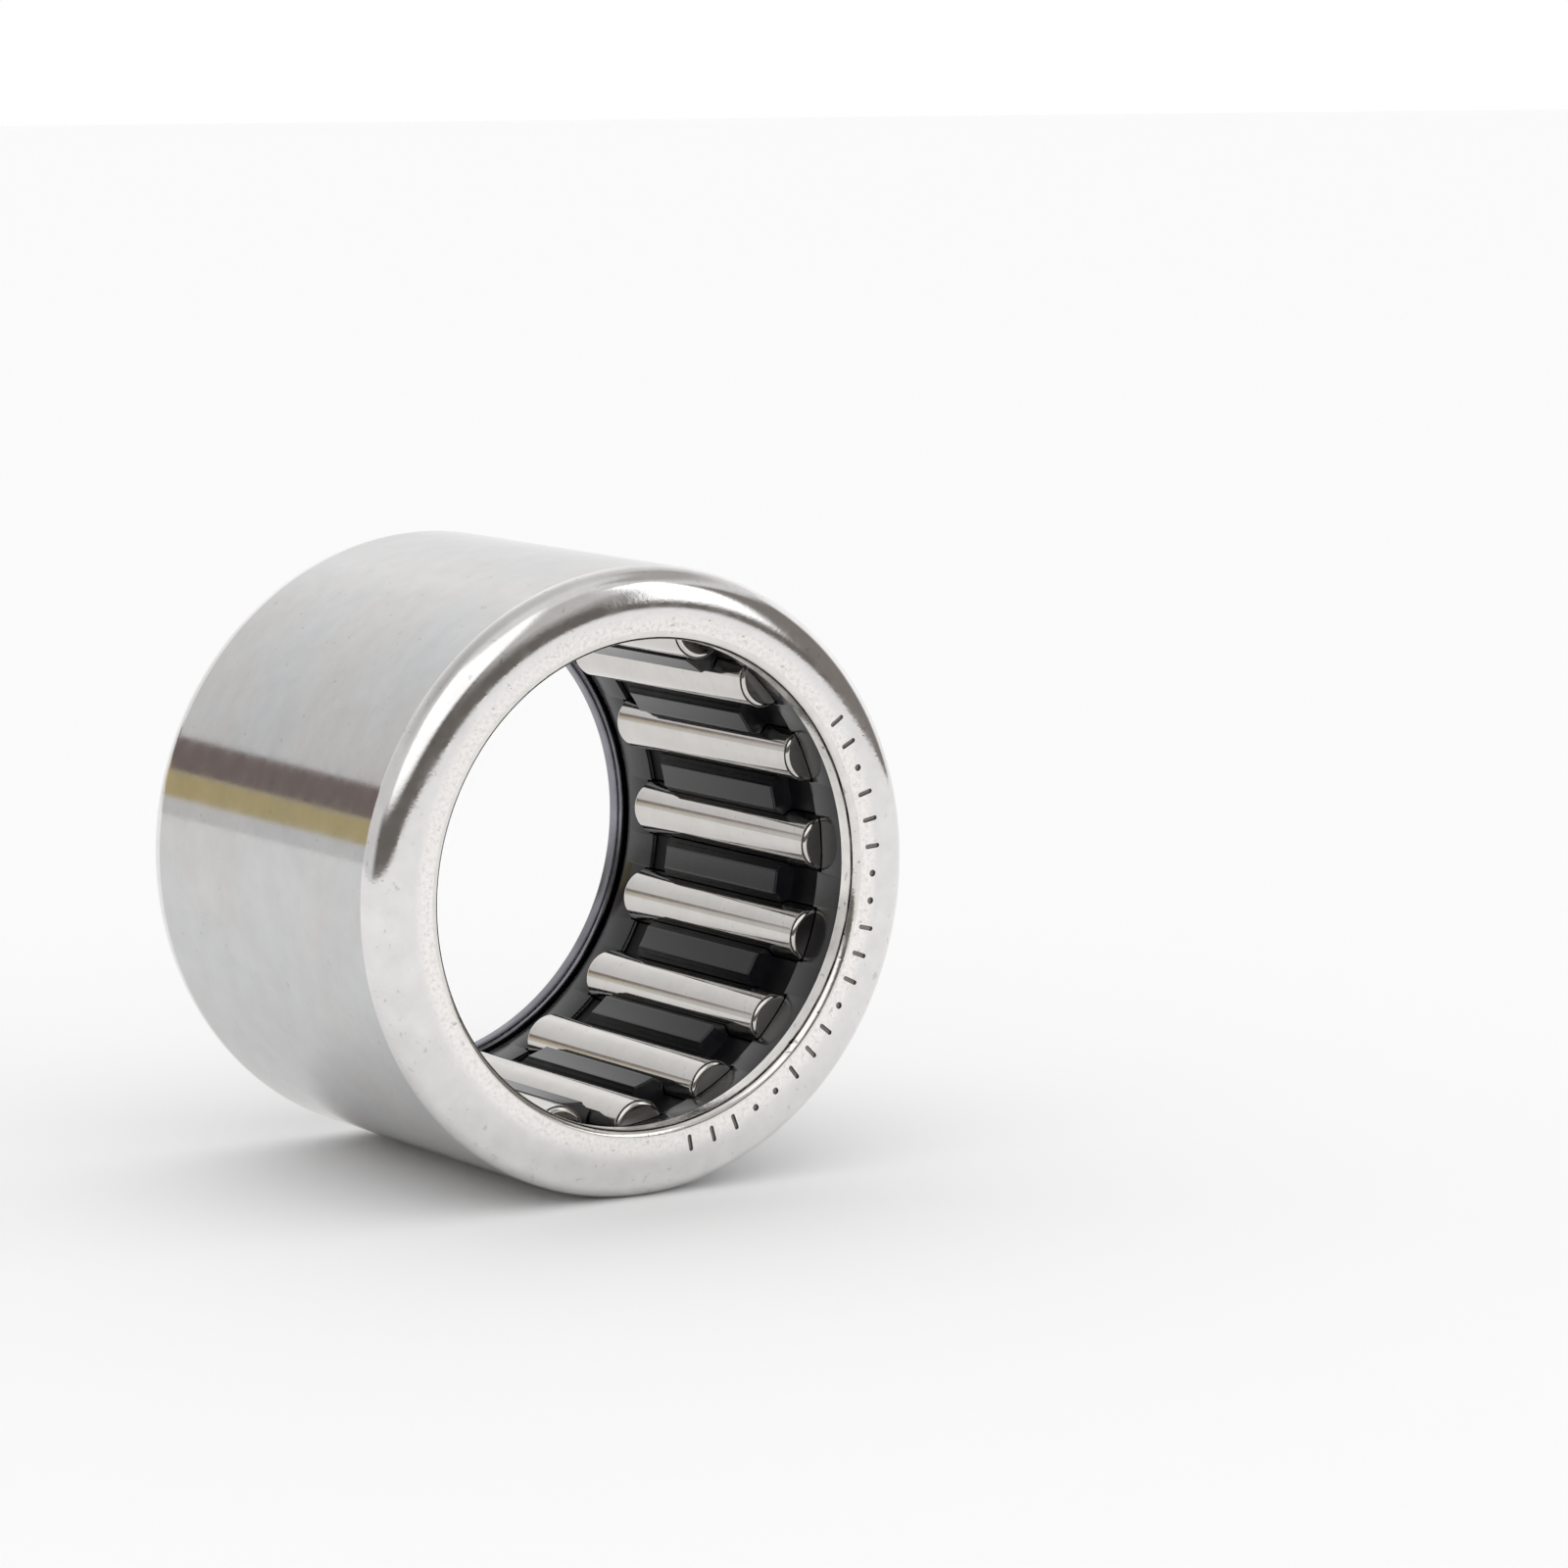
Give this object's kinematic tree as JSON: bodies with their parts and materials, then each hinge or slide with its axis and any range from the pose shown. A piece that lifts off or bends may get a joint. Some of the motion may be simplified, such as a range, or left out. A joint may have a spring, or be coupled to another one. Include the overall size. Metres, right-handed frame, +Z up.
{
  "type": "needle roller bearing",
  "caption": "Open-ended drawn-cup needle roller bearing: a pressed steel cup holding a moulded cage of needle rollers around a shaft bore.",
  "frame": {"origin": "centre of the bearing, on its axis halfway between the two end faces", "axes": "+Y along the bearing axis, away from the marked end face, which looks towards -Y; +Z up with the bearing lying on its outside diameter; +X to the right when the marked face is seen from the front"},
  "size_m": [0.027, 0.02, 0.027],
  "materials": {
    "cup_steel": "satin pressed steel with a polished rolled corner and a finely pitted end face",
    "roller_steel": "ground and polished bearing steel",
    "cage_moulding": "glossy black moulding"
  },
  "bodies": {
    "cup": {"outer_cup": "cup_steel"},
    "cage": {"cage": "cage_moulding"},
    "roller_01": {"roller_01": "roller_steel"},
    "roller_02": {"roller_02": "roller_steel"},
    "roller_03": {"roller_03": "roller_steel"},
    "roller_04": {"roller_04": "roller_steel"},
    "roller_05": {"roller_05": "roller_steel"},
    "roller_06": {"roller_06": "roller_steel"},
    "roller_07": {"roller_07": "roller_steel"},
    "roller_08": {"roller_08": "roller_steel"},
    "roller_09": {"roller_09": "roller_steel"},
    "roller_10": {"roller_10": "roller_steel"},
    "roller_11": {"roller_11": "roller_steel"},
    "roller_12": {"roller_12": "roller_steel"},
    "roller_13": {"roller_13": "roller_steel"},
    "roller_14": {"roller_14": "roller_steel"},
    "roller_15": {"roller_15": "roller_steel"},
    "roller_16": {"roller_16": "roller_steel"},
    "roller_17": {"roller_17": "roller_steel"}
  },
  "joints": [
    {"name": "cage_spin", "type": "hinge", "parent": "cup", "child": "cage", "pos_m": [0, 0, 0], "axis": [0, 1, 0], "continuous": true},
    {"name": "roller_01_spin", "type": "hinge", "parent": "cage", "child": "roller_01", "pos_m": [0.00795, 0, 0.00795], "axis": [0, 1, 0], "continuous": true},
    {"name": "roller_02_spin", "type": "hinge", "parent": "cage", "child": "roller_02", "pos_m": [0.01029, 0, 0.00454], "axis": [0, 1, 0], "continuous": true},
    {"name": "roller_03_spin", "type": "hinge", "parent": "cage", "child": "roller_03", "pos_m": [0.01124, 0, 0.00052], "axis": [0, 1, 0], "continuous": true},
    {"name": "roller_04_spin", "type": "hinge", "parent": "cage", "child": "roller_04", "pos_m": [0.01067, 0, -0.00358], "axis": [0, 1, 0], "continuous": true},
    {"name": "roller_05_spin", "type": "hinge", "parent": "cage", "child": "roller_05", "pos_m": [0.00866, 0, -0.00719], "axis": [0, 1, 0], "continuous": true},
    {"name": "roller_06_spin", "type": "hinge", "parent": "cage", "child": "roller_06", "pos_m": [0.00547, 0, -0.00983], "axis": [0, 1, 0], "continuous": true},
    {"name": "roller_07_spin", "type": "hinge", "parent": "cage", "child": "roller_07", "pos_m": [0.00155, 0, -0.01114], "axis": [0, 1, 0], "continuous": true},
    {"name": "roller_08_spin", "type": "hinge", "parent": "cage", "child": "roller_08", "pos_m": [-0.00258, 0, -0.01095], "axis": [0, 1, 0], "continuous": true},
    {"name": "roller_09_spin", "type": "hinge", "parent": "cage", "child": "roller_09", "pos_m": [-0.00636, 0, -0.00928], "axis": [0, 1, 0], "continuous": true},
    {"name": "roller_10_spin", "type": "hinge", "parent": "cage", "child": "roller_10", "pos_m": [-0.00928, 0, -0.00636], "axis": [0, 1, 0], "continuous": true},
    {"name": "roller_11_spin", "type": "hinge", "parent": "cage", "child": "roller_11", "pos_m": [-0.01095, 0, -0.00258], "axis": [0, 1, 0], "continuous": true},
    {"name": "roller_12_spin", "type": "hinge", "parent": "cage", "child": "roller_12", "pos_m": [-0.01114, 0, 0.00155], "axis": [0, 1, 0], "continuous": true},
    {"name": "roller_13_spin", "type": "hinge", "parent": "cage", "child": "roller_13", "pos_m": [-0.00983, 0, 0.00547], "axis": [0, 1, 0], "continuous": true},
    {"name": "roller_14_spin", "type": "hinge", "parent": "cage", "child": "roller_14", "pos_m": [-0.00719, 0, 0.00866], "axis": [0, 1, 0], "continuous": true},
    {"name": "roller_15_spin", "type": "hinge", "parent": "cage", "child": "roller_15", "pos_m": [-0.00358, 0, 0.01067], "axis": [0, 1, 0], "continuous": true},
    {"name": "roller_16_spin", "type": "hinge", "parent": "cage", "child": "roller_16", "pos_m": [0.00052, 0, 0.01124], "axis": [0, 1, 0], "continuous": true},
    {"name": "roller_17_spin", "type": "hinge", "parent": "cage", "child": "roller_17", "pos_m": [0.00454, 0, 0.01029], "axis": [0, 1, 0], "continuous": true}
  ],
  "couplings": [
    {"joint": "roller_01_spin", "follows": "cage_spin", "ratio": -10},
    {"joint": "roller_02_spin", "follows": "cage_spin", "ratio": -10},
    {"joint": "roller_03_spin", "follows": "cage_spin", "ratio": -10},
    {"joint": "roller_04_spin", "follows": "cage_spin", "ratio": -10},
    {"joint": "roller_05_spin", "follows": "cage_spin", "ratio": -10},
    {"joint": "roller_06_spin", "follows": "cage_spin", "ratio": -10},
    {"joint": "roller_07_spin", "follows": "cage_spin", "ratio": -10},
    {"joint": "roller_08_spin", "follows": "cage_spin", "ratio": -10},
    {"joint": "roller_09_spin", "follows": "cage_spin", "ratio": -10},
    {"joint": "roller_10_spin", "follows": "cage_spin", "ratio": -10},
    {"joint": "roller_11_spin", "follows": "cage_spin", "ratio": -10},
    {"joint": "roller_12_spin", "follows": "cage_spin", "ratio": -10},
    {"joint": "roller_13_spin", "follows": "cage_spin", "ratio": -10},
    {"joint": "roller_14_spin", "follows": "cage_spin", "ratio": -10},
    {"joint": "roller_15_spin", "follows": "cage_spin", "ratio": -10},
    {"joint": "roller_16_spin", "follows": "cage_spin", "ratio": -10},
    {"joint": "roller_17_spin", "follows": "cage_spin", "ratio": -10}
  ]
}
